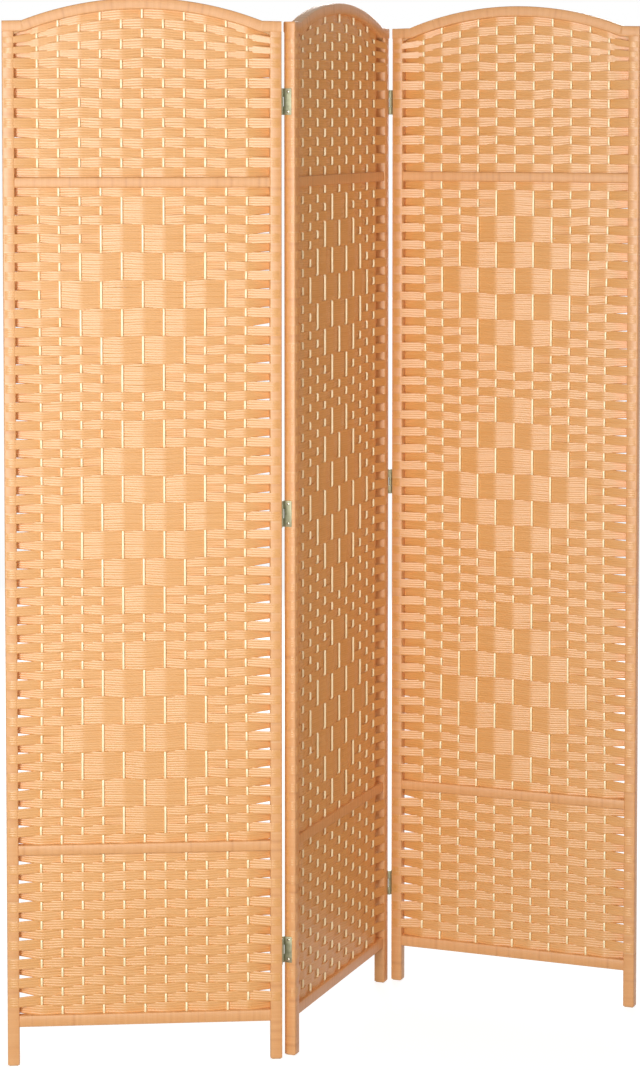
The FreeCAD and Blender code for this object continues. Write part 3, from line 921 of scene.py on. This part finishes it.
def lathe(profile, sides):
    """A shape turned round the z axis from a line of (radius, height) points."""
    shape = bmesh.new()
    line = [shape.verts.new((radius, 0, height)) for radius, height in profile]
    edges = [shape.edges.new(pair) for pair in zip(line, line[1:])]
    bmesh.ops.spin(shape, geom=line + edges, axis=(0, 0, 1), cent=(0, 0, 0), angle=math.tau, steps=sides)
    bmesh.ops.remove_doubles(shape, verts=shape.verts, dist=WELD)
    return shape


def raise_faces(shape, faces, way):
    """Pulls faces out of a shape, with walls round them."""
    raised = bmesh.ops.extrude_face_region(shape, geom=faces)["geom"]
    corners = [item for item in raised if isinstance(item, bmesh.types.BMVert)]
    bmesh.ops.translate(shape, vec=way, verts=corners)


def leaf_shape(thirds):
    """A leaf rolled into its knuckles: x from the pin over the post's edge, y off the post, z up."""
    leaf = bmesh.new()
    face = leaf.faces.new([leaf.verts.new((reach, 0, height)) for reach, height in leaf_outline(thirds)])
    raise_faces(leaf, [face], (0, LEAF_THICKNESS, 0))
    bmesh.ops.bevel(leaf, geom=leaf.edges[:], offset=LEAF_BEVEL, segments=2, profile=0.5, affect="EDGES")
    for third in thirds:
        low, high = knuckle_span(third)
        wall = [
            (KNUCKLE_BORE, low),
            (KNUCKLE_RADIUS - KNUCKLE_EASE, low),
            (KNUCKLE_RADIUS, low + KNUCKLE_EASE),
            (KNUCKLE_RADIUS, high - KNUCKLE_EASE),
            (KNUCKLE_RADIUS - KNUCKLE_EASE, high),
            (KNUCKLE_BORE, high),
            (KNUCKLE_BORE, low),
        ]
        knuckle = lathe(wall, KNUCKLE_SIDES)
        bmesh.ops.translate(knuckle, vec=(0, KNUCKLE_RADIUS, 0), verts=knuckle.verts)
        mesh = bpy.data.meshes.new("knuckle")
        knuckle.to_mesh(mesh)
        knuckle.free()
        leaf.from_mesh(mesh)
        bpy.data.meshes.remove(mesh)
    return leaf


def head_shape():
    """A screw's domed head with a straight slot. Its axis is z and its seat is at level 0."""
    profile = []
    for degrees in QUARTER:
        angle = math.radians(degrees)
        profile.append((HEAD_RADIUS * math.sin(angle), HEAD_HEIGHT * math.cos(angle)))
    profile += [(HEAD_RADIUS, -HEAD_SUNK), (0, -HEAD_SUNK)]
    head = lathe(profile, HEAD_SIDES)
    for side in (-1, 1):
        everything = head.verts[:] + head.edges[:] + head.faces[:]
        wall = (side * SLOT_WIDTH / 2, 0, 0)
        bmesh.ops.bisect_plane(head, geom=everything, plane_co=wall, plane_no=(1, 0, 0))
    bmesh.ops.recalc_face_normals(head, faces=head.faces)
    slot = []
    for face in head.faces:
        on_dome = face.normal.z > DOME_SLOPE
        if on_dome and abs(face.calc_center_median().x) < SLOT_WIDTH / 2:
            slot.append(face)
    raise_faces(head, slot, (0, 0, -SLOT_DEPTH))
    return head


def pattern(name, shape, turn):
    """An object to copy from: a shape turned into a panel's directions."""
    shape.transform(turn)
    bmesh.ops.recalc_face_normals(shape, faces=shape.faces)
    mesh = bpy.data.meshes.new(name)
    shape.to_mesh(mesh)
    shape.free()
    item = bpy.data.objects.new(name, mesh)
    bpy.context.scene.collection.objects.link(item)
    return item


def hang_panels(plate, steel):
    """The leaves of the hinges with their screws, three hinges on each joint."""
    copies = copies_tree()
    for seed, (joint, (panel, edge, outward, facing, thirds)) in enumerate(LEAVES.items()):
        leaf_turn = Matrix(((0, outward, 0, 0), (-facing, 0, 0, 0), (0, 0, 1, 0), (0, 0, 0, 1)))
        leaf = pattern(f"{joint}_leaf", leaf_shape(thirds), leaf_turn)
        head = pattern(f"{joint}_head", head_shape(), Matrix.Rotation(outward * math.pi / 2, 4, "Y"))
        pin_y = facing * PIN_OFFSET
        seat = (edge + outward * LEAF_THICKNESS, pin_y - facing * SCREW_REACH)
        leaf_places = [[(edge, pin_y, level)] for level in HINGE_LEVELS]
        sides = (-SCREW_SPACING / 2, SCREW_SPACING / 2)
        head_places = [[(*seat, level + side)] for level in HINGE_LEVELS for side in sides]
        leaves = grown(
            f"{joint}_hinge_leaves",
            leaf_places,
            copies,
            Piece=leaf,
            Turn=0.0,
            Seed=seed,
            Material=plate,
        )
        heads = grown(
            f"{joint}_screw_heads",
            head_places,
            copies,
            Piece=head,
            Turn=math.pi,
            Seed=seed,
            Material=steel,
        )
        for piece, slot, node in ((leaves, "hinge", "leaves"), (heads, "screw", "screws")):
            piece.data.set_sharp_from_angle(angle=SHARP_ANGLE)
            set_on(piece, panel, f"{joint}_{node}")
        for item in (leaf, head):
            mesh = item.data
            bpy.data.objects.remove(item)
            bpy.data.meshes.remove(mesh)


# The object


def build_screen():
    """Every piece of the screen. The posts' wood and the pins are the frame's own, with a better finish."""
    winding = winding_tree()
    cord = cord_tree("cord_along_row", "Z_UP")
    stake = cord_tree("cord_along_stake", "MINIMUM_TWIST")
    woven = paper_cord("woven_cord", (0.74, 0.385, 0.128, 1), (0.685, 0.325, 0.084, 1), gloss=1.0)
    wound = paper_cord("wound_cord", (0.755, 0.4, 0.166, 1), (0.7, 0.34, 0.12, 1), gloss=0.65, wound=True)
    cream = paper_cord("cream_cord", (0.95, 0.83, 0.5, 1), (0.93, 0.77, 0.42, 1), gloss=1.0, ior=1.75)
    for index, panel in enumerate(PANELS):
        bind_frame(panel, FRAME_SEEDS * index, winding, wound)
        weave_panel(panel, WEAVE_SEEDS * (index + 1), cord, stake, woven, cream)
    plate = brass()
    hang_panels(plate, bright_steel())
    finishes = {"wood": post_wood(), "pin": plate}
    for part in frame["record"]["subparts"]:
        if part["material_slot"] in finishes:
            node = frame["nodes"][part["node"]]
            node.data.materials.clear()
            node.data.materials.append(finishes[part["material_slot"]])


# Studio


def seen_directly(tree):
    """1 for rays from the camera, and for those that metal and glass reflect or let through."""
    path = tree.add("ShaderNodeLightPath")
    seen = path["Is Camera Ray"].math("MAXIMUM", path["Is Glossy Ray"])
    return seen.math("MAXIMUM", path["Is Transmission Ray"])


def add_world():
    """White where it is seen, and a weak even light elsewhere."""
    world = bpy.data.worlds.new("white_studio")
    bpy.context.scene.world = world
    world.use_nodes = True
    world.node_tree.nodes.clear()
    tree = Tree(world.node_tree)
    strength = AMBIENT + seen_directly(tree) * (1 - AMBIENT)
    sky = tree.add("ShaderNodeBackground", sockets={"Color": (1, 1, 1, 1), "Strength": strength})
    tree.add("ShaderNodeOutputWorld", sockets={"Surface": sky})


def add_floor():
    """A matt floor that glows where it is seen, and more far off, so that it meets the white behind."""
    made, tree = material("pale_floor")
    matt = tree.add("ShaderNodeBsdfDiffuse", sockets={"Color": (0.45, 0.45, 0.45, 1)})
    place = tree.add("ShaderNodeTexCoord")["Object"]
    distance = tree.add("ShaderNodeVectorMath", {"operation": "LENGTH"}, {0: place})["Value"]
    reach = {"Value": distance, "From Min": 2.0, "From Max": 9.0, "To Min": 0.8, "To Max": 0.95}
    level = tree.add("ShaderNodeMapRange", {"interpolation_type": "SMOOTHSTEP"}, reach)["Result"]
    shown = {"Color": (1, 1, 1, 1), "Strength": seen_directly(tree) * level}
    glow = tree.add("ShaderNodeEmission", sockets=shown)
    both = tree.add("ShaderNodeAddShader", sockets={0: matt, 1: glow})
    tree.add("ShaderNodeOutputMaterial", sockets={"Surface": both})
    mesh = bpy.data.meshes.new("floor")
    half = FLOOR_SIZE / 2
    corners = [(-half, -half, 0), (half, -half, 0), (half, half, 0), (-half, half, 0)]
    mesh.from_pydata(corners, [], [(0, 1, 2, 3)])
    mesh.materials.append(made)
    floor = bpy.data.objects.new("floor", mesh)
    bpy.context.scene.collection.objects.link(floor)


def add_lamp(name, place, target, size, power, colour=(1, 1, 1)):
    """A lamp of a width and height that shines from a place at a target."""
    lamp = bpy.data.lights.new(name, "AREA")
    lamp.color = colour
    lamp.shape = "RECTANGLE"
    lamp.size, lamp.size_y = size
    lamp.energy = power
    item = bpy.data.objects.new(name, lamp)
    item.location = place
    item.rotation_euler = (Vector(target) - Vector(place)).to_track_quat("-Z", "Y").to_euler()
    bpy.context.scene.collection.objects.link(item)


def build_studio():
    """The light of the photograph. The warm lamp is for the middle panel, which the key lamp only grazes."""
    add_world()
    add_floor()
    add_lamp("key_lamp", (-1.315, -3.795, 1.35), (-0.05, 0, 0.9), (0.92, 1.72), 97)
    add_lamp("front_lamp", (0.1, -3.5, 1.3), (0, 0, 0.9), (0.8, 2.0), 24)
    add_lamp("warm_lamp", (2.74, -1.25, 1.1), (0, 0.05, 0.9), (1.0, 1.8), 14, (1, 0.6, 0.42))
    add_lamp("back_lamp", (0.5, 4.0, 2.0), (0, 0, 0.9), (2.0, 2.0), 130)


def build_camera():
    """The photograph's view."""
    data = bpy.data.cameras.new("camera")
    data.sensor_width = 36
    data.lens = CAMERA_LENS
    data.shift_y = CAMERA_SHIFT
    data.clip_end = 100
    camera = bpy.data.objects.new("camera", data)
    camera.location = CAMERA_PLACE
    camera.rotation_euler = (math.radians(90 - CAMERA_TILT), 0, math.radians(CAMERA_YAW))
    bpy.context.scene.collection.objects.link(camera)
    bpy.context.scene.camera = camera


build_screen()
build_studio()
build_camera()
bpy.context.scene.view_settings.view_transform = "Standard"
